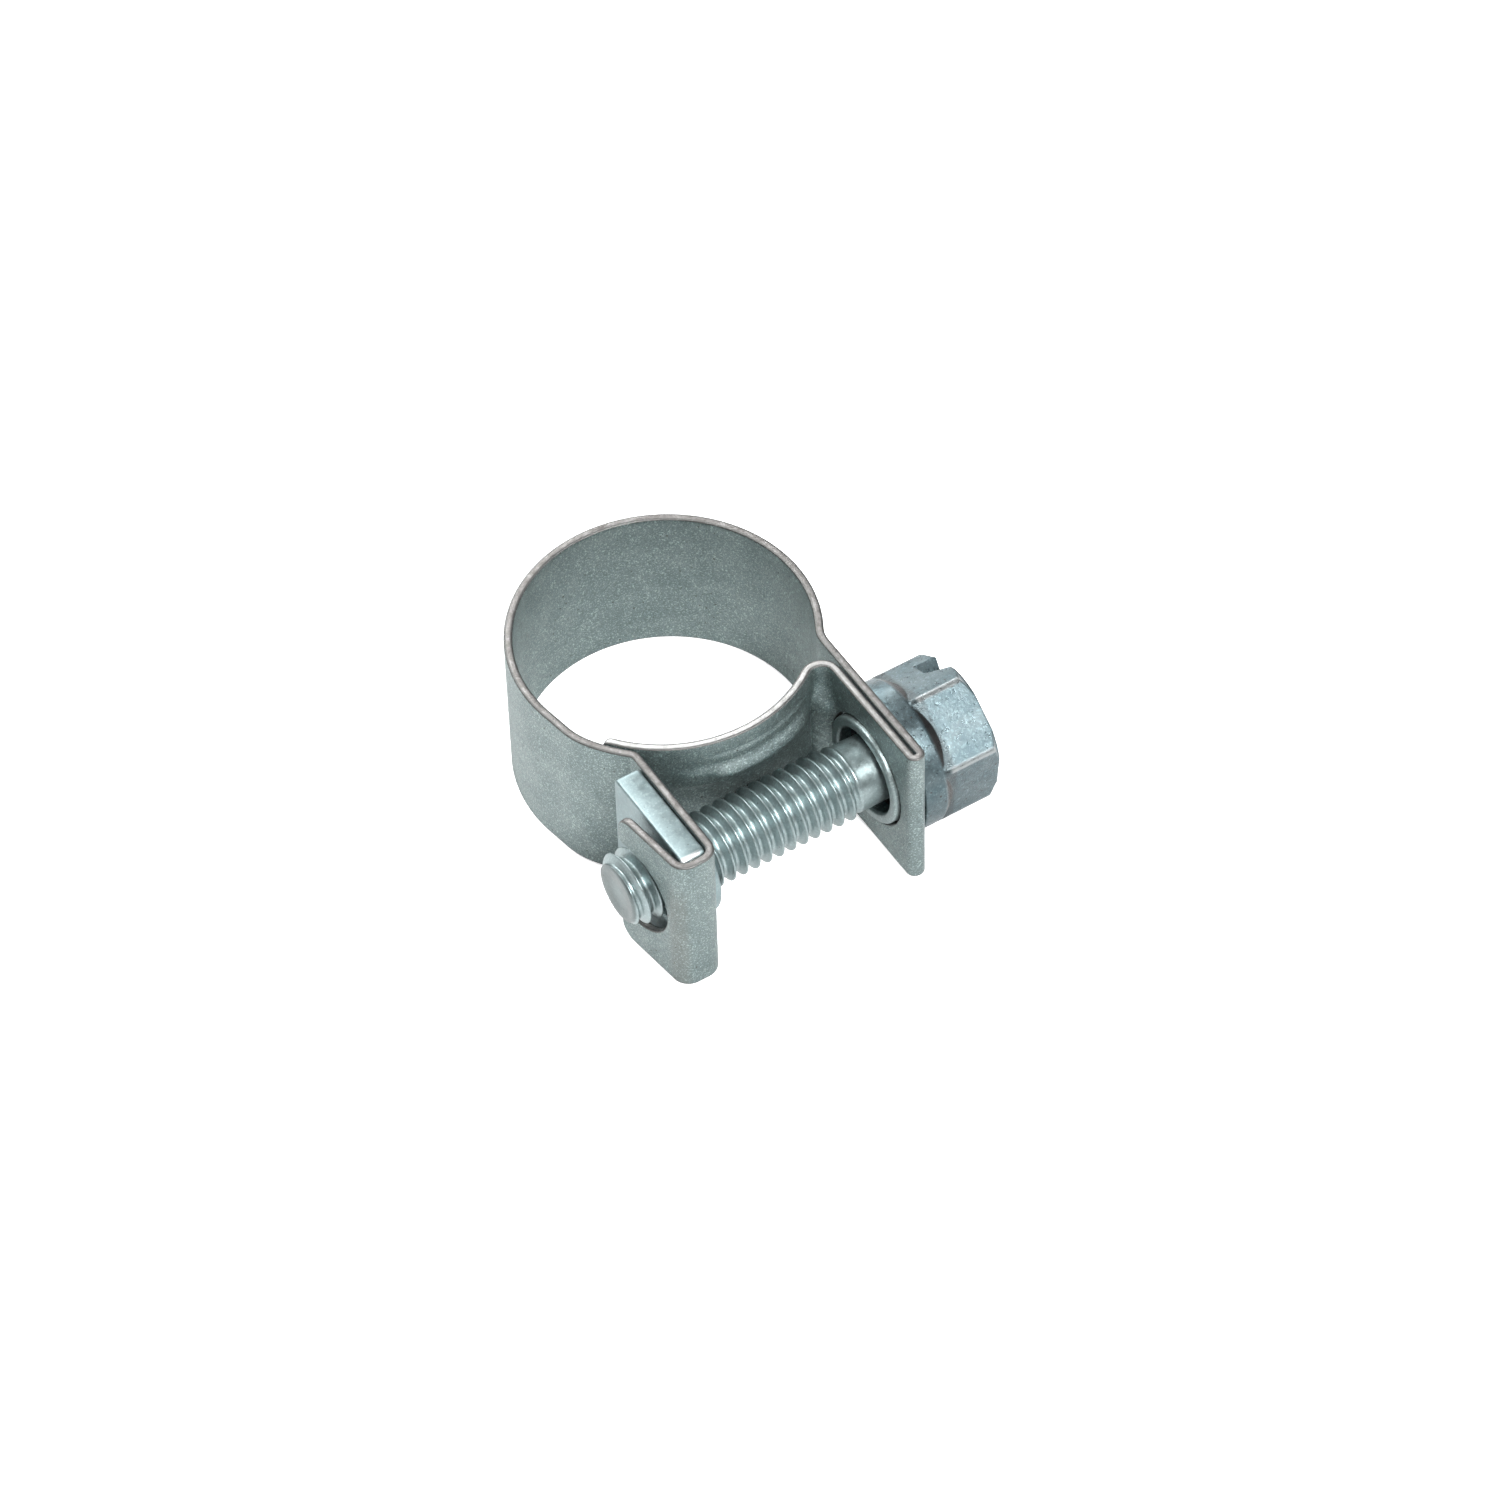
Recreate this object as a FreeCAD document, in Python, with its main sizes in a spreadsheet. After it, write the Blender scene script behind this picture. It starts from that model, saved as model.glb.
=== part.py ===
import FreeCAD, Part
import os
import math

# Small "mini" hose clamp: one folded spring-steel strip with two ears, a captive
# square nut held in the fold of one ear, and a hexagon-head machine screw
# through both ears.
#
# Frame: Z is the axis of the hose, with Z = 0 at half the width of the strip and
# the origin at the centre of the hose bore.  +X runs along the screw towards its
# head.  Both ears point to -Y.  Millimetres; angles in the code are radians.
#
# The strip is springy and flexes.  It is built as four stiff lengths that meet
# end to end, a small gap apart, at the places where it bends:
#   band_head_side  - the ear under the screw head and the loop up to the top
#   band_tongue     - the inner tongue that bridges the gap under the screw
#   band_loop_left  - the left (-X) side of the loop
#   band_nut_ear    - the ear that is folded round the nut

os.makedirs("parts", exist_ok=True)
doc = FreeCAD.newDocument("hose_clamp")
V = FreeCAD.Vector
Rotation = FreeCAD.Rotation
QUARTER = math.pi / 2

# ---------------------------------------------------------------- sizes
# "mid" radii, and the x and y of leaves and folds, are on the strip's middle line.
# Names ending in "_deg" are in degrees.
size = {
    # strip and loop
    "band_width": 9.0,
    "band_thick": 0.45,
    "loop_mid": 7.725,
    "loop_cx": -0.05,
    "loop_cy": -0.06,
    "joggle_mid": 8.05,
    "joggle_start_deg": 190.0,
    "joggle_end_deg": 210.0,
    "seam_gap": 0.10,
    # tongue
    "tongue_mid": 7.55,
    "tongue_tip_deg": -145.0,
    "tongue_corner_cut": 0.7,
    "bead_near": 1.55,
    "bead_far": 3.1,
    "bead_height": 0.40,
    "bead_start_deg": -99.0,
    "bead_end_deg": -62.0,
    # ear under the screw head
    "head_outer_x": 6.35,
    "head_inner_x": 5.81,
    "head_fold_y": -13.695,
    "head_bend": 1.8,
    "corner_bend": 0.85,
    "leaf_hole_rad": 3.05,
    "collar_in_rad": 2.4,
    "collar_out_rad": 2.95,
    "collar_front_x": 5.35,
    # ear round the nut
    "nut_leaf_x": -5.40,
    "nut_bend": 0.6,
    "nut_fold_y": -13.395,
    "nut_fold_bend": 0.7,
    "nut_fold_x": -6.726,
    "nut_lip_tilt_deg": 7.3,
    "nut_lip_end_y": -8.77,
    "neck_hole_rad": 3.0,
    "lip_slot_half": 2.6,
    # nut
    "nut_front_x": -5.70,
    "nut_back_x": -7.05,
    "nut_low_y": -13.05,
    "nut_top_y": -6.70,
    "nut_half_z": 4.42,
    "nut_low_bevel": 0.42,
    "nut_top_bevel": 0.2,
    "nut_neck_rad": 2.85,
    "nut_neck_x": -4.60,
    "nut_neck_bevel": 0.2,
    "nut_bore_rad": 1.68,
    "nut_root_rad": 2.08,
    "nut_crest_width": 0.139,
    # screw
    "axis_y": -9.81,
    "thread_pitch": 0.7,
    "thread_end_x": 4.38,
    "thread_runout": 0.45,
    "screw_rad": 1.97,
    "screw_root_rad": 1.57,
    "screw_neck_rad": 1.80,
    "screw_neck_step": 0.15,
    "screw_tip_x": -8.92,
    "screw_tip_bevel": 0.40,
    "flange_x": 6.60,
    "flange_rim_x": 7.80,
    "flange_rad": 3.92,
    "flange_bevel": 0.15,
    "hex_start_x": 8.35,
    "hex_base_rad": 3.45,
    "hex_flats": 6.9,
    "hex_end_x": 11.2,
    "drive_slot_width": 0.95,
    "drive_slot_depth": 1.3,
    "drive_slot_deg": 57.0,
}
sheet = doc.addObject("Spreadsheet::Sheet", "Sizes")
for row, (alias, value) in enumerate(size.items(), 1):
    sheet.set("A%d" % row, alias)
    sheet.set("B%d" % row, repr(value))
    sheet.setAlias("B%d" % row, alias)
doc.recompute()

AXIS_Y = size["axis_y"]
PITCH = size["thread_pitch"]


# ---------------------------------------------------------------- plane geometry
def polar(radius, angle, centre=(0, 0)):
    return (centre[0] + radius * math.cos(angle), centre[1] + radius * math.sin(angle))


def beside(point, heading, distance):
    """The point a distance to the left of one that looks along heading."""
    return (
        point[0] - distance * math.sin(heading),
        point[1] + distance * math.cos(heading),
    )


def segment(start, end):
    return Part.LineSegment(V(*start, 0), V(*end, 0))


def polygon(points):
    return [segment(p, q) for p, q in zip(points, points[1:] + points[:1])]


def circle_arc(centre, radius, first, last):
    circle = Part.Circle(V(*centre, 0), V(0, 0, 1), radius)
    return Part.ArcOfCircle(circle, min(first, last), max(first, last))


def smooth_arc(centre, radius, first, last):
    """A spline through 17 points of an arc."""
    angles = [first + (last - first) * i / 16.0 for i in range(17)]
    curve = Part.BSplineCurve()
    curve.interpolate([V(*polar(radius, angle, centre), 0) for angle in angles])
    return curve


class Strip:
    """The middle line of a bent strip: straight and round lengths, each starting
    where, and in the direction, that the last one ended."""

    def __init__(self, start, heading):
        self.start = (start, heading)
        self.point = start
        self.heading = heading
        self.pieces = []

    def line(self, length):
        end = polar(length, self.heading, self.point)
        self.pieces.append(("line", self.point, end, self.heading))
        self.point = end

    def arc(self, radius, turn):
        """A positive turn goes to the left."""
        side = 1.0 if turn > 0 else -1.0
        centre = beside(self.point, self.heading, side * radius)
        first = math.atan2(self.point[1] - centre[1], self.point[0] - centre[0])
        last = first + turn
        self.pieces.append(("arc", centre, radius, first, last, side))
        self.point = polar(radius, last, centre)
        self.heading += turn

    def ease_to(self, end, heading):
        """Two arcs that reach a point in a given direction, which has to differ
        from the present one.  They join half way between two points that lie
        equally far along the tangents of the two ends."""
        from_dir = polar(1.0, self.heading)
        to_dir = polar(1.0, heading)
        span = (end[0] - self.point[0], end[1] - self.point[1])
        along = span[0] * (from_dir[0] + to_dir[0]) + span[1] * (from_dir[1] + to_dir[1])
        spread = 2 * (1 - (from_dir[0] * to_dir[0] + from_dir[1] * to_dir[1]))
        span_squared = span[0] ** 2 + span[1] ** 2
        reach = (-along + math.sqrt(along**2 + spread * span_squared)) / spread
        near = polar(reach, self.heading, self.point)
        far = polar(-reach, heading, end)
        middle = ((near[0] + far[0]) / 2, (near[1] + far[1]) / 2)
        self.arc_to(middle, math.atan2(far[1] - near[1], far[0] - near[0]))
        self.arc_to(end, heading)

    def arc_to(self, end, heading):
        turn = (heading - self.heading + math.pi) % (2 * math.pi) - math.pi
        chord = math.hypot(end[0] - self.point[0], end[1] - self.point[1])
        self.arc(abs(chord / (2 * math.sin(turn / 2))), turn)

    def outline(self, half, draw_arc):
        """The closed outline, half the thickness to each side."""
        curves = []
        for offset in (half, -half):
            for kind, *data in self.pieces:
                if kind == "line":
                    start, end, heading = data
                    start = beside(start, heading, offset)
                    curves.append(segment(start, beside(end, heading, offset)))
                else:
                    centre, radius, first, last, side = data
                    curves.append(draw_arc(centre, radius - side * offset, first, last))
        for point, heading in (self.start, (self.point, self.heading)):
            curves.append(
                segment(beside(point, heading, half), beside(point, heading, -half))
            )
        return curves


# ---------------------------------------------------------------- document objects
def add_sketch(body, name, curves):
    """A sketch of the curves on the body's XY plane."""
    sketch = body.newObject("Sketcher::SketchObject", name)
    xy_plane = next(f for f in body.Origin.OriginFeatures if f.Role == "XY_Plane")
    sketch.AttachmentSupport = [(xy_plane, "")]
    sketch.MapMode = "FlatFace"
    for curve in curves:
        sketch.addGeometry(curve, False)
    return sketch


def padded_body(name, curves, width):
    """An outline padded evenly to both sides of Z = 0; width is an expression."""
    body = doc.addObject("PartDesign::Body", name)
    sketch = add_sketch(body, name + "_outline", curves)
    pad = body.newObject("PartDesign::Pad", name + "_pad")
    pad.Profile = sketch
    pad.Midplane = True
    pad.setExpression("Length", width)
    doc.recompute()
    return body


def strip_body(name, strip, draw_arc=circle_arc):
    curves = strip.outline(size["band_thick"] / 2, draw_arc)
    return padded_body(name + "_strip", curves, "Sizes.band_width")


def screw_axis_cylinder(name, radius_alias, x_start, x_end):
    cylinder = doc.addObject("Part::Cylinder", name)
    cylinder.setExpression("Radius", "Sizes." + radius_alias)
    cylinder.Height = x_end - x_start
    cylinder.Placement = FreeCAD.Placement(
        V(x_start, AXIS_Y, 0), Rotation(V(0, 1, 0), 90)
    )
    return cylinder


def box(name, lengths, anchor, local_anchor=V(0, 0, 0), rotation=Rotation()):
    """A turned box whose own point local_anchor lands on anchor."""
    block = doc.addObject("Part::Box", name)
    block.Length, block.Width, block.Height = lengths
    block.Placement = FreeCAD.Placement(anchor - rotation.multVec(local_anchor), rotation)
    return block


def boolean(kind, name, base, tool):
    result = doc.addObject("Part::" + kind, name)
    result.Base = base
    result.Tool = tool
    return result


def cut(name, base, tool):
    return boolean("Cut", name, base, tool)


def join(name, base, tool):
    return boolean("Fuse", name, base, tool)


# ------------------------------------------------ where the lengths meet
LOOP = size["loop_mid"]
LOOP_CENTRE = (size["loop_cx"], size["loop_cy"])
JOGGLE = size["joggle_mid"]
TONGUE = size["tongue_mid"]
HALF_GAP = size["seam_gap"] / 2

# Each bend is an arc that touches a ring from outside or a leaf from one side.
# Its centre is as far from the ring's centre as the two radii together.
# Bend between the loop and the nut ear; the seam is at its start:
nut_bend_reach = JOGGLE + size["nut_bend"]
nut_bend_x = size["nut_leaf_x"] - size["nut_bend"]
nut_seam_angle = 2 * math.pi - math.acos(nut_bend_x / nut_bend_reach)
nut_bend_centre = polar(nut_bend_reach, nut_seam_angle)

# Top seam: above the nut seam, shifted by half of the nut's travel
NUT_TRAVEL = 5 * PITCH
top_seam_x = JOGGLE * math.cos(nut_seam_angle) + NUT_TRAVEL / 2
top_seam_angle = math.acos((top_seam_x - LOOP_CENTRE[0]) / LOOP)

# Bend between the loop and the head ear
head_bend_x = size["head_outer_x"] + size["head_bend"]
head_bend_angle = -math.acos(
    (head_bend_x - LOOP_CENTRE[0]) / (LOOP + size["head_bend"])
)

# Corner between the inner leaf of the head ear and the tongue; the seam is at its end
corner_reach = TONGUE + size["corner_bend"]
corner_x = size["head_inner_x"] - size["corner_bend"]
tongue_seam_angle = -math.acos(corner_x / corner_reach)
corner_y = corner_reach * math.sin(tongue_seam_angle)


# ---------------------------------------------------------------- head side
def build_head_side():
    """Loop from the top seam, bend, outer leaf, fold, inner leaf and corner, with
    an eyelet collar that reaches from the outer leaf through the inner one."""
    corner_bend = size["corner_bend"]
    fold_radius = (size["head_outer_x"] - size["head_inner_x"]) / 2
    fold_centre_y = size["head_fold_y"] + fold_radius

    start = top_seam_angle - HALF_GAP / LOOP
    strip = Strip(polar(LOOP, start, LOOP_CENTRE), start - QUARTER)
    strip.arc(LOOP, head_bend_angle - start)
    strip.arc(size["head_bend"], -QUARTER - strip.heading)
    strip.line(strip.point[1] - fold_centre_y)
    strip.arc(fold_radius, -math.pi)
    strip.line(corner_y - fold_centre_y)
    strip.arc(corner_bend, tongue_seam_angle + math.pi - HALF_GAP / corner_bend)
    body = strip_body("band_head_side", strip)

    leaf_hole = screw_axis_cylinder("head_leaf_hole", "leaf_hole_rad", 5.2, 6.06)
    pierced = cut("head_leaf_cut", body, leaf_hole)
    collar = screw_axis_cylinder(
        "eyelet_outside", "collar_out_rad", size["collar_front_x"], 6.40
    )
    with_collar = join("head_with_eyelet", pierced, collar)
    collar_hole = screw_axis_cylinder("eyelet_hole", "collar_in_rad", 5.0, 7.2)
    return cut("band_head_side", with_collar, collar_hole)


# ---------------------------------------------------------------- tongue
def bead_face():
    """The side view of a bead: a ring sector with sloping ends."""
    end_slope = 0.05  # angle by which the outer arc is shorter at each end
    first = math.radians(size["bead_start_deg"])
    last = math.radians(size["bead_end_deg"])
    outer = TONGUE + size["band_thick"] / 2 + size["bead_height"]
    outer_first, outer_last = first + end_slope, last - end_slope
    curves = [
        circle_arc((0, 0), TONGUE, first, last),
        segment(polar(TONGUE, last), polar(outer, outer_last)),
        circle_arc((0, 0), outer, outer_first, outer_last),
        segment(polar(outer, outer_first), polar(TONGUE, first)),
    ]
    return Part.Face(Part.Wire([curve.toShape() for curve in curves]))


def build_tongue():
    """An arc inside the loop with a free end.  Its round faces are splines, as
    this springy length is only nearly round."""
    tip_angle = math.radians(size["tongue_tip_deg"])
    start = tongue_seam_angle - HALF_GAP / TONGUE
    strip = Strip(polar(TONGUE, start), start - QUARTER)
    strip.arc(TONGUE, tip_angle - start)
    tongue = strip_body("band_tongue", strip, smooth_arc)

    # two beads, at +Z and -Z of the screw, raised away from the hose
    face = bead_face()
    bead_width = size["bead_far"] - size["bead_near"]
    for tag, z in (("upper", size["bead_near"]), ("lower", -size["bead_far"])):
        bead = doc.addObject("Part::Feature", "tongue_bead_" + tag)
        bead.Shape = face.extrude(V(0, 0, bead_width))
        bead.Placement = FreeCAD.Placement(V(0, 0, z), Rotation())
        tongue = join("tongue_with_bead_" + tag, tongue, bead)

    # the two corners of the free end are cut back by square bars set on edge
    bar_length = 3.0
    bar_side = size["tongue_corner_cut"]
    half_width = size["band_width"] / 2
    radial = Rotation(V(0, 0, 1), size["tongue_tip_deg"])
    rotation = radial.multiply(Rotation(V(1, 0, 0), 45))
    for name, tag, z in (
        ("tongue_cut", "hi", half_width),
        ("band_tongue", "lo", -half_width),
    ):
        corner = box(
            "tongue_corner_" + tag,
            (bar_length, bar_side, bar_side),
            anchor=V(*polar(TONGUE, tip_angle), z),
            local_anchor=V(bar_length / 2, bar_side / 2, bar_side / 2),
            rotation=rotation,
        )
        tongue = cut(name, tongue, corner)
    return tongue


# ---------------------------------------------------------------- left loop
def build_loop_left():
    """From the top seam to the nut seam, with a gentle joggle to a wider ring."""
    joggle_start = math.radians(size["joggle_start_deg"])
    joggle_end = math.radians(size["joggle_end_deg"])
    start = top_seam_angle + HALF_GAP / LOOP
    strip = Strip(polar(LOOP, start, LOOP_CENTRE), start + QUARTER)
    strip.arc(LOOP, joggle_start - start)
    strip.ease_to(polar(JOGGLE, joggle_end), joggle_end + QUARTER)
    strip.arc(JOGGLE, nut_seam_angle - HALF_GAP / JOGGLE - joggle_end)
    return strip_body("band_loop_left", strip)


# ---------------------------------------------------------------- nut ear
def build_nut_ear():
    """Bend, leaf in front of the nut, fold below it and a slotted lip behind it."""
    bend = size["nut_bend"]
    fold_bend = size["nut_fold_bend"]
    tilt = math.radians(size["nut_lip_tilt_deg"])

    start = nut_seam_angle - HALF_GAP / bend
    strip = Strip(polar(-bend, start, nut_bend_centre), start + QUARTER)
    strip.arc(bend, 3 * QUARTER - strip.heading)
    strip.line(strip.point[1] - (size["nut_fold_y"] + fold_bend))
    strip.arc(fold_bend, -QUARTER)
    strip.line(strip.point[0] - size["nut_fold_x"])
    strip.arc(fold_bend, tilt - QUARTER)
    strip.line((size["nut_lip_end_y"] - strip.point[1]) / math.cos(tilt))
    body = strip_body("band_nut_ear", strip)

    neck_hole = screw_axis_cylinder("neck_hole", "neck_hole_rad", -5.95, -5.0)
    pierced = cut("ear_neck_cut", body, neck_hole)

    # the lip's slot: a round end on the screw's axis, open towards +Y
    slot_back_x, slot_front_x, slot_open_y = -9.0, -6.2, -8.0
    slot_half = size["lip_slot_half"]
    slot_end = screw_axis_cylinder(
        "lip_slot_end", "lip_slot_half", slot_back_x, slot_front_x
    )
    round_cut = cut("ear_slot_end_cut", pierced, slot_end)
    slot_open = box(
        "lip_slot_open",
        (slot_front_x - slot_back_x, slot_open_y - AXIS_Y, 2 * slot_half),
        anchor=V(slot_back_x, AXIS_Y, -slot_half),
    )
    return cut("band_nut_ear", round_cut, slot_open)


# ---------------------------------------------------------------- threads
# The screw's groove starts one pitch beyond its tip.
GROOVE_START_X = size["screw_tip_x"] - PITCH


def flank_widening(depth):
    """How much wider a 60 degree thread profile gets over a radial depth."""
    return 2 * depth * math.tan(math.radians(30))


def thread_sweep(name, x_start, x_end, base, rim, phase):
    """A right-hand thread groove or ridge on the screw's axis: a trapezium swept
    from x_start to x_end.  base and rim are its two (radius, width) ends.  Its
    middle passes x_start at the angle phase (degrees about +X, from +Y)."""
    base_radius, base_width = base
    rim_radius, rim_width = rim
    helix = Part.makeHelix(PITCH, x_end - x_start, rim_radius)
    corners = [
        V(base_radius, 0, -base_width / 2),
        V(rim_radius, 0, -rim_width / 2),
        V(rim_radius, 0, rim_width / 2),
        V(base_radius, 0, base_width / 2),
    ]
    profile = Part.makePolygon(corners + corners[:1])
    solid = Part.Wire(helix.Edges).makePipeShell([profile], True, True)
    if solid.ShapeType != "Solid":
        solid = Part.Solid(Part.Shell(solid.Faces))
    if solid.Volume < 0:
        solid.reverse()
    thread = doc.addObject("Part::Feature", name)
    thread.Shape = solid
    thread.Placement = FreeCAD.Placement(
        V(x_start, AXIS_Y, 0), Rotation(V(1, 0, 0), phase).multiply(Z_TO_X)
    )
    return thread


# turns (x, y, z) to (z, x, y)
Z_TO_X = Rotation(V(1, 1, 1), 120)


def screw_groove():
    root_radius = size["screw_root_rad"]
    root_width = PITCH - PITCH / 8 - flank_widening(size["screw_rad"] - root_radius)
    rim_radius = size["screw_rad"] + 0.03  # a little outside the blank
    rim_width = root_width + flank_widening(rim_radius - root_radius)
    return thread_sweep(
        "screw_groove",
        GROOVE_START_X,
        size["thread_end_x"] - size["thread_runout"],
        base=(root_radius, root_width),
        rim=(rim_radius, rim_width),
        phase=0.0,
    )


def nut_ridge():
    """Follows the screw's groove with a running clearance all round.  It starts
    half a turn on, inside the plate."""
    crest_radius = size["nut_bore_rad"]
    crest_width = size["nut_crest_width"]
    base_radius = size["nut_root_rad"] + 0.08  # sunk into the wall of the bore
    base_width = crest_width + flank_widening(base_radius - crest_radius)
    return thread_sweep(
        "nut_ridge",
        GROOVE_START_X + 4.5 * PITCH,
        size["nut_neck_x"] - size["thread_runout"],
        base=(base_radius, base_width),
        rim=(crest_radius, crest_width),
        phase=180.0,
    )


# ---------------------------------------------------------------- nut
def build_nut():
    """A square plate with bevelled edges and a round neck towards the screw head."""
    front, back = size["nut_front_x"], size["nut_back_x"]
    low, top = size["nut_low_y"], size["nut_top_y"]
    low_bevel, top_bevel = size["nut_low_bevel"], size["nut_top_bevel"]
    side_view = [
        (front, low + low_bevel),
        (front - low_bevel, low),
        (back + low_bevel, low),
        (back, low + low_bevel),
        (back, top - top_bevel),
        (back + top_bevel, top),
        (front - top_bevel, top),
        (front, top - top_bevel),
    ]
    plate = padded_body("nut_blank", polygon(side_view), "Sizes.nut_half_z * 2")

    neck_x, neck_bevel = size["nut_neck_x"], size["nut_neck_bevel"]
    neck = screw_axis_cylinder("nut_neck", "nut_neck_rad", -6.2, neck_x)
    doc.recompute()
    rim_edge = next(
        number
        for number, edge in enumerate(neck.Shape.Edges, 1)
        if edge.Curve.TypeId == "Part::GeomCircle"
        and abs(edge.CenterOfMass.x - neck_x) < 1e-6
    )
    bevelled_neck = doc.addObject("Part::Chamfer", "nut_neck_edge")
    bevelled_neck.Base = neck
    bevelled_neck.Edges = [(rim_edge, neck_bevel, neck_bevel)]

    with_neck = join("nut_with_neck", plate, bevelled_neck)
    bore = screw_axis_cylinder("nut_bore", "nut_root_rad", -8.0, -4.0)
    bored = cut("nut_bored", with_neck, bore)
    return join("nut", bored, nut_ridge())


# ---------------------------------------------------------------- screw
def screw_blank():
    """The turned shank and flange."""
    tip_x, tip_bevel = size["screw_tip_x"], size["screw_tip_bevel"]
    thread_radius, neck_radius = size["screw_rad"], size["screw_neck_rad"]
    flange_x, flange_radius = size["flange_x"], size["flange_rad"]
    flange_bevel = size["flange_bevel"]
    # x, radius
    half_profile = [
        (tip_x, 0),
        (tip_x, thread_radius - tip_bevel),
        (tip_x + tip_bevel, thread_radius),
        (size["thread_end_x"], thread_radius),
        (size["thread_end_x"] + size["screw_neck_step"], neck_radius),
        (flange_x, neck_radius),
        (flange_x, flange_radius - flange_bevel),
        (flange_x + flange_bevel, flange_radius),
        (size["flange_rim_x"], flange_radius),
        (size["hex_start_x"], size["hex_base_rad"]),
        (size["hex_start_x"], 0),
    ]
    body = doc.addObject("PartDesign::Body", "screw_blank")
    profile = add_sketch(body, "screw_profile", polygon(half_profile))
    turned = body.newObject("PartDesign::Revolution", "screw_turned")
    turned.Profile = profile
    turned.ReferenceAxis = (profile, ["H_Axis"])
    turned.Angle = 360
    doc.recompute()
    body.Placement = FreeCAD.Placement(V(0, AXIS_Y, 0), Rotation())
    return body


def hex_head():
    """The hexagon, with a turned bevel on the corners of its outer end."""
    base = V(size["flange_rim_x"], AXIS_Y, 0)
    hexagon = doc.addObject("Part::Prism", "hexagon")
    hexagon.Polygon = 6
    hexagon.setExpression("Circumradius", "Sizes.hex_flats / sqrt(3)")
    hexagon.setExpression("Height", "Sizes.hex_end_x - Sizes.flange_rim_x")
    # one flat faces (0, -0.586, 0.810); the first corner is 30 degrees past it
    flat_angle = math.degrees(math.atan2(0.810, -0.586))
    hexagon.Placement = FreeCAD.Placement(
        base, Rotation(V(1, 0, 0), flat_angle + 30).multiply(Z_TO_X)
    )

    crown = doc.addObject("Part::Cone", "hex_crown")
    length = size["hex_end_x"] - size["flange_rim_x"]
    end_radius = size["hex_flats"] / 2 - 0.02  # just inside the flats
    crown.Radius1 = end_radius + length * math.tan(math.radians(60))
    crown.Radius2 = end_radius
    crown.Height = length
    crown.Placement = FreeCAD.Placement(base, Rotation(V(0, 1, 0), 90))
    return boolean("Common", "hex_trimmed", hexagon, crown)


def build_screw():
    with_hex = join("screw_with_hex", screw_blank(), hex_head())

    width, depth = size["drive_slot_width"], size["drive_slot_depth"]
    length = 12.0
    drive = box(
        "drive_slot",
        (depth + 1.0, width, length),
        anchor=V(size["hex_end_x"] - depth, AXIS_Y, 0),
        local_anchor=V(0, width / 2, length / 2),
        rotation=Rotation(V(1, 0, 0), size["drive_slot_deg"] - 90),
    )
    drive.setExpression("Width", "Sizes.drive_slot_width")
    slotted = cut("screw_slotted", with_hex, drive)
    return cut("screw", slotted, screw_groove())


# ---------------------------------------------------------------- build and export
pieces = {
    "band_head_side": build_head_side(),
    "band_tongue": build_tongue(),
    "band_loop_left": build_loop_left(),
    "band_nut_ear": build_nut_ear(),
    "nut": build_nut(),
    "screw": build_screw(),
}
doc.recompute()
for label, piece in pieces.items():
    piece.Label = label

for obj in doc.Objects:
    if "Invalid" in obj.State or "Error" in obj.State:
        raise RuntimeError("failed: %s %s" % (obj.Name, obj.State))

for label, piece in pieces.items():
    shape = piece.Shape
    if shape.isNull() or not shape.isValid():
        raise RuntimeError("bad shape: " + label)
    if len(shape.Solids) != 1:
        raise RuntimeError("%s has %d solids" % (label, len(shape.Solids)))
    if shape.Solids[0].Volume <= 0:
        raise RuntimeError("empty: " + label)

for label, piece in pieces.items():
    piece.Shape.exportStep("parts/%s.step" % label)
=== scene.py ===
# Small hose clamp made of one bent strip, with a nut and a screw.
#
# The strip stands on its edge: its loop runs round the z axis and its width lies along z,
# centred on z = 0. Two ears hang from the loop towards -y: the folded head ear at +x and
# the nut ear at -x. The screw lies along x at y = AXIS_Y, its head at +x. Sizes are in mm
# and are scaled by MM on their way into Blender.
import math

import bmesh
import bpy
import numpy as np
from mathutils import Matrix, Vector
from mathutils.geometry import delaunay_2d_cdt


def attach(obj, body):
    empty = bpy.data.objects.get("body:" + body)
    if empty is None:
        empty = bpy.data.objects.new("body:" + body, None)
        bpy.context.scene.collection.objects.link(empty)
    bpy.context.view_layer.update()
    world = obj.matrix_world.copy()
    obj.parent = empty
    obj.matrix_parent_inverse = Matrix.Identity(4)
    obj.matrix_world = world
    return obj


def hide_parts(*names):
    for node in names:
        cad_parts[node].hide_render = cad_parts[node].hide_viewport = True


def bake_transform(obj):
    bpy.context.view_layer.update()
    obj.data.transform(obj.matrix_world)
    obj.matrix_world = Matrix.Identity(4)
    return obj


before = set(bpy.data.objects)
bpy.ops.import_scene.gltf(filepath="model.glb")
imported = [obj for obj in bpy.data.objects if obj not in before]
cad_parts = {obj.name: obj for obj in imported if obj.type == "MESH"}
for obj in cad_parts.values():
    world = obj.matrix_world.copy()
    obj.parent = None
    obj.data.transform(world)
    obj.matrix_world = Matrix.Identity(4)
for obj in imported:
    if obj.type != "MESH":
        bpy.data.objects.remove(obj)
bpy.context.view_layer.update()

MM = 0.001
AXIS_Y = -9.81
THICK = 0.45  # of the strip
HALF_W = 9.0 / 2  # half the strip's width


def ease(x, start, span):
    """0 at start, 1 a span further on, smooth between; a negative span runs downwards."""
    x = np.clip((x - start) / span, 0, 1)
    return x * x * (3 - 2 * x)


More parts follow.
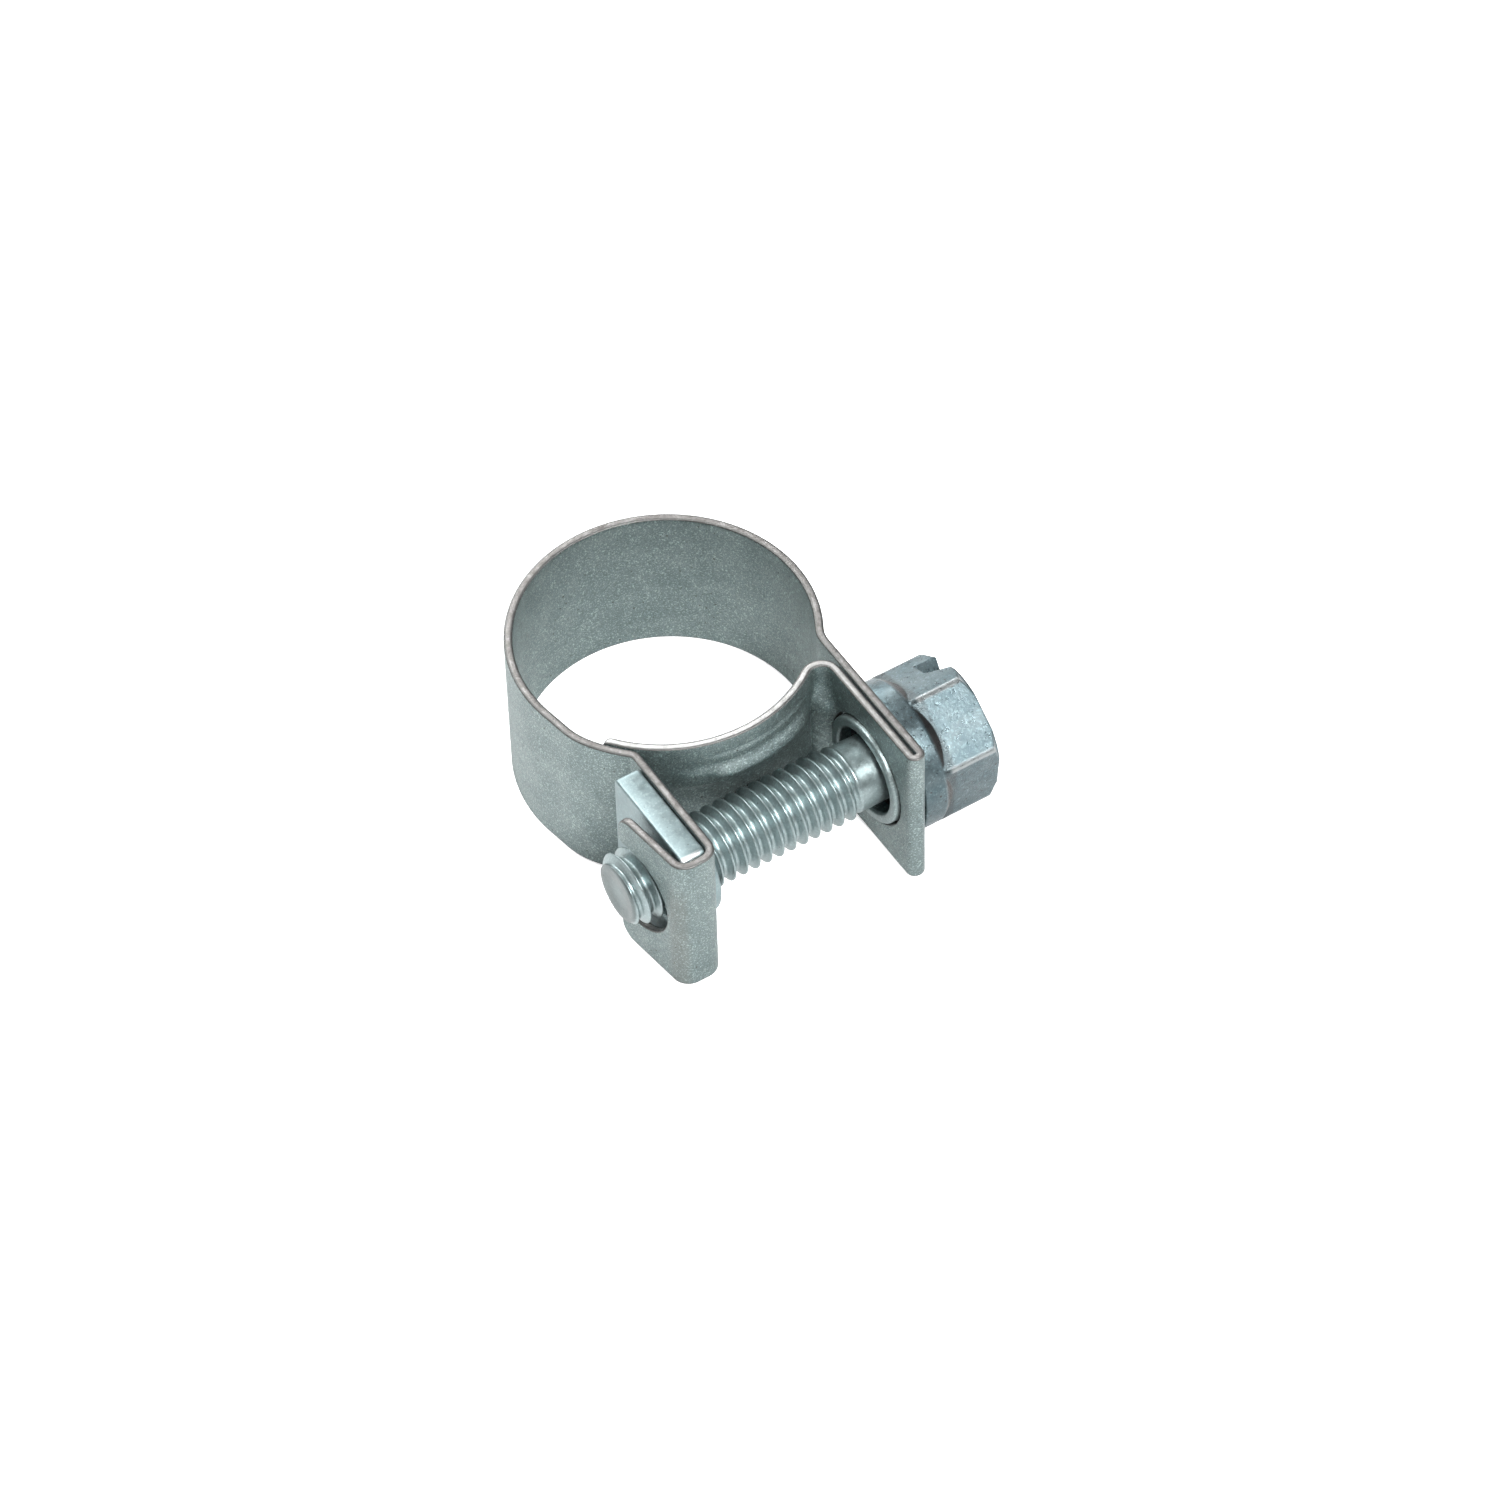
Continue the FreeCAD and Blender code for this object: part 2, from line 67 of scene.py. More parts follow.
# =====================================================================
# middle line of the strip
# =====================================================================
class Path:
    """Middle line of the bent strip: straight and round lengths end to end."""

    def __init__(self, x, y, heading):
        self.point = np.array([x, y], float)
        self.heading = math.radians(heading)
        self.items = []  # (distance at start, length, start point, heading, curvature)
        self.total = 0.0

    def line(self, length):
        direction = np.array([math.cos(self.heading), math.sin(self.heading)])
        self.items.append((self.total, length, self.point, self.heading, 0.0))
        self.point = self.point + direction * length
        self.total += length

    def arc(self, radius, turn):
        """Turn by an angle in degrees, positive to the left."""
        t = math.radians(turn)
        length = radius * abs(t)
        curve = (1 if t > 0 else -1) / radius
        self.items.append((self.total, length, self.point, self.heading, curve))
        centre = self.point + np.array([-math.sin(self.heading), math.cos(self.heading)]) / curve
        rel = self.point - centre
        ca, sa = math.cos(t), math.sin(t)
        self.point = centre + np.array([ca * rel[0] - sa * rel[1], sa * rel[0] + ca * rel[1]])
        self.heading += t
        self.total += length

    def arc_to(self, point, heading):
        turn = (heading - self.heading + math.pi) % (2 * math.pi) - math.pi
        chord = float(np.hypot(*(np.array(point) - self.point)))
        self.arc(abs(chord / (2 * math.sin(turn / 2))), math.degrees(turn))

    def ease_to(self, x, y, heading):
        """Reach a point and heading by two arcs whose end tangents are equally long."""
        end_heading = math.radians(heading)
        t0 = np.array([math.cos(self.heading), math.sin(self.heading)])
        t1 = np.array([math.cos(end_heading), math.sin(end_heading)])
        v = np.array([x, y]) - self.point
        both = t0 + t1
        k = 2 * (1 - float(t0 @ t1))
        vt, vv = float(v @ both), float(v @ v)
        reach = (-vt + math.sqrt(vt * vt + k * vv)) / k
        q0, q1 = self.point + reach * t0, np.array([x, y]) - reach * t1
        self.arc_to((q0 + q1) / 2, math.atan2(*(q1 - q0)[::-1]))
        self.arc_to((x, y), end_heading)

    def at(self, s):
        """Points and left-hand normals at the distances s."""
        s = np.asarray(s, float)
        p = np.zeros(s.shape + (2,))
        n = np.zeros(s.shape + (2,))
        for i, (s0, length, q, a, k) in enumerate(self.items):
            # the first and last lengths run on past the ends
            lo = -1e9 if i == 0 else s0
            hi = 1e9 if i == len(self.items) - 1 else s0 + length
            pick = (s >= lo) & (s < hi)
            d = s[pick] - s0
            if k == 0:
                p[pick] = q + np.outer(d, [math.cos(a), math.sin(a)])
                n[pick] = [-math.sin(a), math.cos(a)]
            else:
                h = a + d * k
                p[pick, 0] = q[0] + (np.sin(h) - math.sin(a)) / k
                p[pick, 1] = q[1] - (np.cos(h) - math.cos(a)) / k
                n[pick, 0], n[pick, 1] = -np.sin(h), np.cos(h)
        return p, n

    def steps(self, s0, s1, most=0.24):
        """Distances from s0 to s1, closer together where the strip is bent tightly."""
        out = [s0]
        for start, length, _, _, k in self.items:
            lo, hi = max(start, s0), min(start + length, s1)
            if hi - lo < 1e-6:
                continue
            step = most if k == 0 else min(most, max(0.05, 0.13 / abs(k)))
            count = max(1, int(math.ceil((hi - lo) / step)))
            out += list(np.linspace(lo, hi, count + 1)[1:])
        return np.array(out)


# radii are those of the middle line; angles are in degrees round the loop's middle
TONGUE_R = 7.55
TIP_ANGLE = math.radians(-145.0)  # free end of the tongue
CORNER_R = 0.85  # from the tongue down into the head ear
INNER_X = 5.81  # inner leaf of the head ear
FOLD_Y = -13.425  # where the head ear's fold begins
FOLD_R = 0.27
OUTER_X = INNER_X + 2 * FOLD_R  # outer leaf of the head ear
OUTER_BEND_R = 1.8  # from the outer leaf into the loop
LOOP_R, LOOP_CX, LOOP_CY = 7.725, -0.05, -0.06
LOOP_END = 190
JOGGLE_R, JOGGLE_END = 8.05, 210  # the loop steps outwards, clear of the tongue
LEFT_BEND_R, LEFT_BEND_X = 0.6, -6.0  # from the loop down into the nut ear
NUT_LEAF_Y = -12.695  # where the nut ear's leaf ends
NUT_FOLD_R = 0.7
NUT_FOLD_X = -6.726  # where the fold turns up into the lip
LIP_LEAN = 7.3  # degrees off upright
LIP_TOP_Y = -8.77

# S_... are distances along the strip
strip = Path(
    TONGUE_R * math.cos(TIP_ANGLE), TONGUE_R * math.sin(TIP_ANGLE), math.degrees(TIP_ANGLE) + 90
)
corner_x = INNER_X - CORNER_R
corner_angle = math.atan2(-math.sqrt((TONGUE_R + CORNER_R) ** 2 - corner_x**2), corner_x)
strip.arc(TONGUE_R, math.degrees(corner_angle - TIP_ANGLE))
S_CORNER = strip.total
strip.arc(CORNER_R, -90 - math.degrees(strip.heading))
S_INNER_TOP = strip.total
S_INNER_HOLE = S_INNER_TOP + (strip.point[1] - AXIS_Y)
strip.line(strip.point[1] - FOLD_Y)
strip.arc(FOLD_R, 180)
S_OUTER_HOLE = strip.total + (AXIS_Y - FOLD_Y)

bend_x = OUTER_X + OUTER_BEND_R
bend_drop = math.sqrt((LOOP_R + OUTER_BEND_R) ** 2 - (bend_x - LOOP_CX) ** 2)
bend_angle = math.atan2(-bend_drop, bend_x - LOOP_CX)
strip.line((LOOP_CY - bend_drop) - strip.point[1])
strip.arc(OUTER_BEND_R, math.degrees(bend_angle))
S_LOOP_HALF = strip.total + LOOP_R * (math.pi - bend_angle)  # the loop's point at -x
strip.arc(LOOP_R, LOOP_END - math.degrees(bend_angle))
strip.ease_to(
    JOGGLE_R * math.cos(math.radians(JOGGLE_END)),
    JOGGLE_R * math.sin(math.radians(JOGGLE_END)),
    JOGGLE_END + 90,
)

left_bend_y = -math.sqrt((JOGGLE_R + LEFT_BEND_R) ** 2 - LEFT_BEND_X**2)
left_angle = math.atan2(left_bend_y, LEFT_BEND_X) + 2 * math.pi
strip.arc(JOGGLE_R, math.degrees(left_angle) - JOGGLE_END)
strip.arc(LEFT_BEND_R, 270 - (math.degrees(left_angle) + 90))
S_NUT_HOLE = strip.total + (strip.point[1] - AXIS_Y)
strip.line(strip.point[1] - NUT_LEAF_Y)
strip.arc(NUT_FOLD_R, -90)
strip.line(strip.point[0] - NUT_FOLD_X)
strip.arc(NUT_FOLD_R, -(90 - LIP_LEAN))
lip_y = strip.point[1]
COS_LIP = math.cos(math.radians(LIP_LEAN))
S_LIP_SLOT = strip.total + (AXIS_Y - lip_y) / COS_LIP
strip.line((LIP_TOP_Y - lip_y) / COS_LIP)
S_END = strip.total

S_JOIN = S_INNER_TOP - 0.30  # where the tongue piece ends and the loop piece begins


# =====================================================================
# meshes
# =====================================================================
def make_mesh(name, co, faces, rim=None):
    """An object from points in metres; rim is an optional value per point."""
    merge = 2e-8
    mesh = bpy.data.meshes.new(name)
    mesh.from_pydata([tuple(c) for c in co], [], [tuple(map(int, f)) for f in faces])
    if rim is not None:
        att = mesh.attributes.new("rim", "FLOAT", "POINT")
        att.data.foreach_set("value", np.asarray(rim, np.float32))
    bm = bmesh.new()
    bm.from_mesh(mesh)
    bmesh.ops.remove_doubles(bm, verts=bm.verts, dist=merge)
    bmesh.ops.dissolve_degenerate(bm, edges=bm.edges, dist=merge)
    bmesh.ops.recalc_face_normals(bm, faces=bm.faces)
    bm.to_mesh(mesh)
    bm.free()
    mesh.shade_smooth()
    obj = bpy.data.objects.new(name, mesh)
    bpy.context.scene.collection.objects.link(obj)
    return obj


def arc_pts(cx, cy, r, a0, a1, n):
    a = np.radians(np.linspace(a0, a1, n))
    return [(cx + r * math.cos(t), cy + r * math.sin(t)) for t in a]


def circle(s, r, n=72):
    return arc_pts(s, 0.0, r, 0, 360, n + 1)[:-1]


def point_in(poly, pts):
    """Which points lie inside a closed polygon."""
    x, y = pts[:, 0], pts[:, 1]
    inside = np.zeros(len(pts), bool)
    px, py = poly[:, 0], poly[:, 1]
    qx, qy = np.roll(px, -1), np.roll(py, -1)
    for i in range(len(poly)):
        crosses = (py[i] > y) != (qy[i] > y)
        if not crosses.any():
            continue
        xi = (qx[i] - px[i]) * (y - py[i]) / (qy[i] - py[i] + 1e-30) + px[i]
        inside ^= crosses & (x < xi)
    return inside


def on_sheet(loops, pts):
    """Which points lie inside the first loop and outside the others."""
    ok = point_in(loops[0], pts)
    for hole in loops[1:]:
        ok &= ~point_in(hole, pts)
    return ok


def loop_normals(poly, outer):
    """Normals of a closed polygon that point away from the material."""
    prev, nxt = np.roll(poly, 1, 0), np.roll(poly, -1, 0)
    e0, e1 = poly - prev, nxt - poly
    e0 /= np.linalg.norm(e0, axis=1)[:, None] + 1e-12
    e1 /= np.linalg.norm(e1, axis=1)[:, None] + 1e-12
    n0, n1 = np.c_[e0[:, 1], -e0[:, 0]], np.c_[e1[:, 1], -e1[:, 0]]
    n = n0 + n1
    n /= np.linalg.norm(n, axis=1)[:, None] + 1e-12
    scale = 1 / np.clip((n * n0).sum(1), 0.5, 1)
    area = 0.5 * np.sum(poly[:, 0] * nxt[:, 1] - nxt[:, 0] * poly[:, 1])
    sign = 1 if area > 0 else -1
    if not outer:
        sign = -sign
    return n * sign * scale[:, None]


def triangulate(loops, grid_s, grid_v):
    """Fill the loops over a grid: flat points, triangles, and each loop's point numbers."""
    gs, gv = np.meshgrid(grid_s, grid_v, indexing="ij")
    pts = np.c_[gs.ravel(), gv.ravel()]
    pts = pts[on_sheet(loops, pts)]
    edge_pts = np.vstack(loops)
    # leave out grid points that nearly touch an edge, working in batches to save memory
    far = np.ones(len(pts), bool)
    for i in range(0, len(pts), 2000):
        d = np.linalg.norm(pts[i : i + 2000, None] - edge_pts[None], axis=2).min(1)
        far[i : i + 2000] = d > 0.05
    verts = [Vector((a, b)) for a, b in np.vstack([edge_pts, pts[far]])]
    edges, start = [], 0
    for loop in loops:
        m = len(loop)
        edges += [(start + i, start + (i + 1) % m) for i in range(m)]
        start += m
    out_v, _, out_f, orig_v, _, _ = delaunay_2d_cdt(verts, edges, [], 0, 1e-7)
    flat = np.array([(v.x, v.y) for v in out_v])
    where = {i: j for j, ids in enumerate(orig_v) for i in ids}
    tri = np.array([f for f in out_f if len(f) == 3])
    tri = tri[on_sheet(loops, flat[tri].mean(1))]
    used = np.unique(tri)
    remap = -np.ones(len(flat), int)
    remap[used] = np.arange(len(used))
    loop_ids, start = [], 0
    for loop in loops:
        loop_ids.append(np.array([remap[where[start + i]] for i in range(len(loop))]))
        start += len(loop)
    return flat[used], remap[tri], loop_ids


# rim attribute on the rings of a rounded edge, from one face over the middle to the other
RIM_SHADE = [0.34, 0.42, 0.52, 1.0, 0.52, 0.42, 0.34]


def edge_profile(thick, edge, steps=3):
    """(share of the edge radius outwards, height) of each ring round a cut edge."""
    prof = []
    for i in range(1, steps + 1):
        f = math.radians(90 * i / steps)
        prof.append((math.sin(f), thick / 2 - edge * (1 - math.cos(f))))
    return prof + [(1.0, 0.0)] + [(a, -b) for a, b in prof[::-1]]


def sheet(name, outline, holes, grid_s, grid_v, place, thick, edge, seams=(), lift=None):
    """A thick sheet with rounded cut edges. outline and holes are closed loops in the
    flat (s, v) plane; place(s, v, height) gives points in mm; at the distances in seams
    the sheet goes on in the next piece and stays square."""
    if lift is None:
        lift = lambda s, v: np.zeros(len(s))
    inner, normals, insets = [], [], []
    for k, poly in enumerate([outline] + holes):
        poly = np.array(poly, float)
        n = loop_normals(poly, outer=(k == 0))
        e = np.full(len(poly), edge)
        if k == 0:
            on = np.zeros(len(poly), bool)
            for s in seams:
                on |= np.abs(poly[:, 0] - s) < 1e-6
            e[on] = 0.0
            corner = on & (np.abs(np.abs(poly[:, 1]) - HALF_W) < 1e-6)
            e[corner] = edge
            n[corner] = np.c_[np.zeros(corner.sum()), np.sign(poly[corner, 1])]
        inner.append(poly - n * e[:, None])
        normals.append(n)
        insets.append(e)

    flat, tri, loop_ids = triangulate(inner, grid_s, grid_v)
    n = len(flat)
    h = lift(flat[:, 0], flat[:, 1])
    co = [place(flat[:, 0], flat[:, 1], h + side * thick / 2) for side in (1, -1)]
    rim = [np.zeros(2 * n)]
    faces = [tuple(t) for t in tri] + [tuple((t + n)[::-1]) for t in tri]
    base = 2 * n
    for poly, ids, nn, e in zip(inner, loop_ids, normals, insets):
        m = len(poly)
        hh = lift(poly[:, 0], poly[:, 1])
        rings = [ids]
        for (out, height), shade in zip(edge_profile(thick, edge), RIM_SHADE):
            q = poly + nn * (e * out)[:, None]
            square = math.copysign(thick / 2, height) if height else 0.0
            co.append(place(q[:, 0], q[:, 1], hh + np.where(e > 0, height, square)))
            rim.append(np.where(e > 0, shade, 0.0))
            rings.append(np.arange(base, base + m))
            base += m
        rings.append(ids + n)
        for ra, rb in zip(rings, rings[1:]):
            for i in range(m):
                j = (i + 1) % m
                faces.append((ra[i], ra[j], rb[j], rb[i]))
    return make_mesh(name, np.vstack(co) * MM, faces, np.concatenate(rim))


def turn_angles(seg):
    return np.linspace(0, 2 * math.pi, seg, endpoint=False)


def ring(x, r, a):
    """Points round the screw's axis; r is one radius or one for each angle in a."""
    return np.c_[np.full(len(a), float(x)), AXIS_Y + r * np.cos(a), r * np.sin(a)]


def ring_faces(count, seg, closed=False):
    """Quads between neighbouring rings; closed joins the last ring to the first."""
    faces = []
    for i in range(count if closed else count - 1):
        j = (i + 1) % count
        for k in range(seg):
            m = (k + 1) % seg
            faces.append((i * seg + k, i * seg + m, j * seg + m, j * seg + k))
    return faces


def lathe(name, profile, seg=120):
    """A closed profile of (x, radius) points turned about the screw's axis."""
    a = turn_angles(seg)
    co = np.vstack([ring(x, r, a) for x, r in profile])
    return make_mesh(name, co * MM, ring_faces(len(profile), seg, closed=True))


def fillet(corners, n=5):
    """Round a closed polyline; corners are (first, second coordinate, rounding radius)."""
    pts = np.array(corners, float)[:, :2]
    out = []
    for i, p in enumerate(pts):
        r = corners[i][2]
        if r == 0:
            out.append(tuple(p))
            continue
        u, v = pts[i - 1] - p, pts[(i + 1) % len(pts)] - p
        u /= np.linalg.norm(u)
        v /= np.linalg.norm(v)
        ang = math.acos(float(u @ v))
        d = r / math.tan(ang / 2)
        c = p + (u + v) / np.linalg.norm(u + v) * (r / math.sin(ang / 2))
        a0 = math.atan2(*(p + u * d - c)[::-1])
        a1 = math.atan2(*(p + v * d - c)[::-1])
        da = (a1 - a0 + math.pi) % (2 * math.pi) - math.pi
        for t in np.linspace(0, 1, n):
            q = a0 + da * t
            out.append((c[0] + r * math.cos(q), c[1] + r * math.sin(q)))
    return out


# =====================================================================
# strip relief
# =====================================================================
S_APEX = (S_CORNER + S_INNER_TOP) / 2  # middle of the corner
dart_ends, _ = strip.at(np.array([S_APEX - 0.98, S_APEX + 1.30]))
DART_START = dart_ends[0]
dart_chord = (dart_ends[1] - dart_ends[0]) / np.linalg.norm(dart_ends[1] - dart_ends[0])
DART_DIR = np.array([dart_chord[1], -dart_chord[0]])
if DART_DIR[1] > 0:
    DART_DIR = -DART_DIR


def dart(s, v):
    """Dart pressed into the corner, towards the screw: a flat facet across the bend
    over the middle of the strip's width, its edges a little uneven."""
    s, v = np.asarray(s, float), np.asarray(v, float)
    p, _ = strip.at(s)
    depth = (DART_START - p) @ DART_DIR
    depth = depth + 0.012 * np.sin(4.3 * v + 0.7) + 0.010 * np.sin(9.0 * v + 5 * (s - S_APEX))
    # soft maximum of the depth and zero, faded out where the strip is far from the facet
    push = 0.5 * (depth + np.sqrt(depth * depth + 0.0016)) * ease(depth, -0.5, 0.4)
    push = np.where(np.abs(s - S_APEX) < 2.4, push, 0.0)
    uneven = 2.06 + 0.05 * np.sin(3.1 * s)
    across = np.where(v > 0, ease(v, 3.55, -1.9), ease(v, -uneven, 0.36))
    return (push * across)[:, None] * DART_DIR[None]


def place_strip(s, v, height):
    p, n = strip.at(s)
    p = p + n * np.asarray(height)[:, None] + dart(s, v)
    return np.c_[p[:, 0], p[:, 1], v]


def tongue_ease(s, deg0, deg1):
    """Ease along the tongue from 0 at one angle to 1 at another."""
    s0, s1 = (TONGUE_R * (math.radians(deg) - TIP_ANGLE) for deg in (deg0, deg1))
    return ease(s, s0, s1 - s0)


def tongue_lift(s, v):
    """Two beads raised towards the screw, one each side of it."""
    along = tongue_ease(s, -108, -98) * tongue_ease(s, -55, -65)
    a = np.abs(v)
    across = ease(a, 3.02, -0.62) * ease(a, 1.42, 0.36)
    # the beads start low near the free end
    start = tongue_ease(s, -123, -110) * tongue_ease(s, -62, -80)
    h = -(0.30 * along + 0.13 * start * (1 - along)) * across
    # a small step pressed in outside each bead, and a faint one on its top
    h = h - 0.075 * along * ease(a, 3.62, -0.22) * ease(a, 1.9, 0.3)
    h = h - 0.05 * along * ease(np.abs(a - 2.28), 0.30, -0.30)
    # the cut edges curl a hair inwards
    return h + 0.03 * ease(a, 3.9, 0.6)


# =====================================================================
# strip pieces
# =====================================================================
STRIP_EDGE = 0.10  # rounding of the strip's cut edges
GRID_V = np.arange(-4.25, 4.3, 0.25)
# closer together over the beads
FINE_V = np.concatenate([GRID_V[:3], np.arange(-3.68, 3.7, 0.08), GRID_V[-3:]])


def side_run(distances, v):
    return [(float(s), v) for s in distances]


def across_run(s):
    return [(s, float(v)) for v in GRID_V]


def mirrored(points):
    return [(s, -v) for s, v in points]


def strip_sheet(name, outline, holes, grid_s, seams, grid_v=GRID_V, lift=None):
    return sheet(
        name, outline, holes, grid_s, grid_v, place_strip, THICK, STRIP_EDGE, seams, lift
    )


def make_tongue():
    """From the free end, square with rounded corners, to the top of the inner leaf."""
    tip_r = 0.45
    ss = strip.steps(0.0, S_JOIN)
    sides = [s for s in ss if s > tip_r + 0.05]
    tip_corner = arc_pts(tip_r, HALF_W - tip_r, tip_r, 90, 180, 9)
    outline = (
        side_run(sides, -HALF_W)
        + across_run(S_JOIN)
        + side_run(sides[::-1], HALF_W)
        + tip_corner
        + [(0.0, v) for v in np.arange(3.8, -3.85, -0.2)]
        + mirrored(tip_corner[::-1])
    )
    return strip_sheet(
        "band_tongue_strip", outline, [], ss, (S_JOIN,), grid_v=FINE_V, lift=tongue_lift
    )


def make_loop():
    """The head ear's two leaves, with the screw's holes, and half of the loop."""
    ss = strip.steps(S_JOIN, S_LOOP_HALF)
    outline = (
        side_run(ss, -HALF_W)
        + across_run(S_LOOP_HALF)
        + side_run(ss[::-1], HALF_W)
        + across_run(S_JOIN)[::-1]
    )
    holes = [circle(S_INNER_HOLE, 3.05), circle(S_OUTER_HOLE, 2.42)]
    return strip_sheet("band_loop_strip", outline, holes, ss, (S_JOIN, S_LOOP_HALF))


def make_nut_ear():
    """The rest of the loop and the nut ear, whose lip is slotted into two prongs."""
    corner_r, slot_half, mouth_r, step = 0.9, 2.6, 0.25, 0.2
    ss = strip.steps(S_LOOP_HALF, S_END)
    sides = [s for s in ss if s < S_END - corner_r - 0.05]
    prong = (
        arc_pts(S_END - corner_r, HALF_W - corner_r, corner_r, 90, 0, 9)
        + [(S_END, v) for v in np.arange(HALF_W - corner_r - step, slot_half + step, -step)]
        + arc_pts(S_END - mouth_r, slot_half + mouth_r, mouth_r, 0, -90, 4)
        + [(s, slot_half) for s in np.arange(S_END - 0.45, S_LIP_SLOT + 0.05, -step)]
    )
    slot_end = arc_pts(S_LIP_SLOT, 0, slot_half, 90, 270, 40)[1:-1]
    outline = (
        side_run(sides, -HALF_W)
        + mirrored(prong)
        + mirrored(slot_end)
        + prong[::-1]
        + side_run(sides[::-1], HALF_W)
        + across_run(S_LOOP_HALF)[::-1]
    )
    holes = [circle(S_NUT_HOLE, 3.0)]
    return strip_sheet("band_nut_ear_strip", outline, holes, ss, (S_LOOP_HALF,))


def make_eyelet():
    """Drawn collar round the head ear's hole."""
    profile = [  # x, radius, rounding
        (6.20, 2.36, 0),
        (6.20, 2.98, 0),
        (5.36, 2.95, 0.16),
        (5.36, 2.34, 0.18),
    ]
    return lathe("band_eyelet", fillet(profile))


# =====================================================================
# nut
# =====================================================================
NUT_X0, NUT_X1 = -7.05, -5.70


def place_nut(s, v, height):
    return np.c_[np.asarray(height) + (NUT_X0 + NUT_X1) / 2, s, v]


def round_rect(s0, s1, v0, v1, r, n=7, step=0.3):
    """A rectangle with rounded corners, its sides cut into steps."""
    corners = (
        (s1 - r, v1 - r, 0),
        (s0 + r, v1 - r, 90),
        (s0 + r, v0 + r, 180),
        (s1 - r, v0 + r, 270),
    )
    pts = []
    for cx, cy, a in corners:
        pts += arc_pts(cx, cy, r, a, a + 90, n)
    out = []
    for i, p in enumerate(pts):
        q = pts[(i + 1) % len(pts)]
        k = max(1, int(math.hypot(q[0] - p[0], q[1] - p[1]) / step))
        for j in range(k):
            out.append((p[0] + (q[0] - p[0]) * j / k, p[1] + (q[1] - p[1]) * j / k))
    return out


def make_nut_plate():
    """Rectangular plate; its flat (s, v) plane is (y, z)."""
    return sheet(
        "nut_plate",
        outline=round_rect(-13.03, -6.70, -4.42, 4.42, r=0.30),
        holes=[circle(AXIS_Y, 2.04, 96)],
        grid_s=np.arange(-12.9, -6.75, 0.28),
        grid_v=np.arange(-4.2, 4.3, 0.28),
        place=place_nut,
        thick=NUT_X1 - NUT_X0,
        edge=0.13,
    )


def make_nut_neck():
    """Collar from the plate through the ear's leaf."""
    profile = [  # x, radius, rounding
        (-5.95, 2.08, 0),
        (-5.95, 3.3, 0),
        (-5.72, 2.95, 0.1),
        (-4.60, 2.84, 0.22),
        (-4.60, 2.40, 0.12),
        (-4.95, 2.04, 0.05),
    ]
    return lathe("nut_neck", fillet(profile))


# =====================================================================
# screw
# =====================================================================
PITCH, MAJOR_R, MINOR_R = 0.7, 1.97, 1.57
ROOT_HALF = 0.0755  # half the flat at the bottom of the groove
CREST_START = PITCH * 7 / 16  # from the groove's middle; the crest is PITCH / 8 wide
TIP_X, THREAD_END, NECK_R = -8.92, 4.38, 1.80
TIP_BEVEL = 0.42


def thread_radius(phase):
    """Radius over one pitch, phase 0 in the middle of the groove."""
    d = np.abs((phase + 0.5) % 1.0 - 0.5) * PITCH
    rise = MAJOR_R - MINOR_R
    slope = rise / (CREST_START - ROOT_HALF)
    r = MINOR_R + np.clip((d - ROOT_HALF) * slope, 0, rise)
    # the upper flank is slightly hollow below the crest
    return r - 0.03 * (1 - ease(d, 0.24, 0.11)) * ease(d, 0.16, 0.08)


def make_shank():
    seg = 144
    a = turn_angles(seg)
    xs = np.concatenate([np.arange(TIP_X, THREAD_END + 0.3, 0.0389), [5.2, 6.0, 6.7]])
    rings = []
    for x in xs:
        r = thread_radius((x - (TIP_X - PITCH)) / PITCH - a / (2 * math.pi))
        # run-out of the last turn into the plain neck
        out = ease(x, THREAD_END - 0.55, 0.5)
        r = r * (1 - out) + NECK_R * out
        rings.append(ring(x, np.minimum(r, MAJOR_R - TIP_BEVEL + (x - TIP_X)), a))
    n = len(xs)
    faces = ring_faces(n, seg)
    # slightly dished end face: (radius, depth) of two rings, then the centre
    for r, depth in ((1.30, 0.0), (0.95, 0.05)):
        rings.append(ring(TIP_X + depth, r, a))
    co = np.vstack(rings + [[[TIP_X + 0.09, AXIS_Y, 0.0]]])
    outer, inner, centre = n * seg, (n + 1) * seg, (n + 2) * seg
    for k in range(seg):
        m = (k + 1) % seg
        faces.append((m, k, outer + k, outer + m))
        faces.append((outer + m, outer + k, inner + k, inner + m))
        faces.append((inner + m, inner + k, centre))
    faces.append(tuple((n - 1) * seg + k for k in range(seg)))
    return make_mesh("screw_shank", co * MM, faces)


HEX_APOTHEM = 6.9 / 2
HEX_CORNER_R = 0.35
FLAT_ANGLE = math.atan2(0.810, -0.586)  # direction one flat faces, from its z and y
COLLAR_X, COLLAR_R = 6.60, 3.92
HEAD_TOP = 11.2
TOP_EDGE = 0.10  # rounding of the edge round the head's face


def hex_turn(t):
    """Angle t measured from the middle of the nearest flat."""
    return (t - FLAT_ANGLE + math.pi / 6) % (math.pi / 3) - math.pi / 6


def hex_radius(t):
    """Distance to the hexagon's side at angle t, its corners rounded."""
    d, k = hex_turn(t), HEX_CORNER_R
    flat_r = HEX_APOTHEM / np.cos(d)
    # the corner's circle is centred at distance c on the corner's line
    c = HEX_APOTHEM / math.cos(math.pi / 6) - k / math.cos(math.pi / 6)
    off = math.pi / 6 - np.abs(d)
    disc = k * k - (c * np.sin(off)) ** 2
    tangent = math.atan2(k * math.sin(math.pi / 6), c + k * math.cos(math.pi / 6))
    round_r = c * np.cos(off) + np.sqrt(np.clip(disc, 0, None))
    return np.where(off < tangent, round_r, flat_r)


def crown(depth):
    """Radius of the turned crown at a depth below the head's face."""
    return HEX_APOTHEM + 0.02 + depth * 1.15


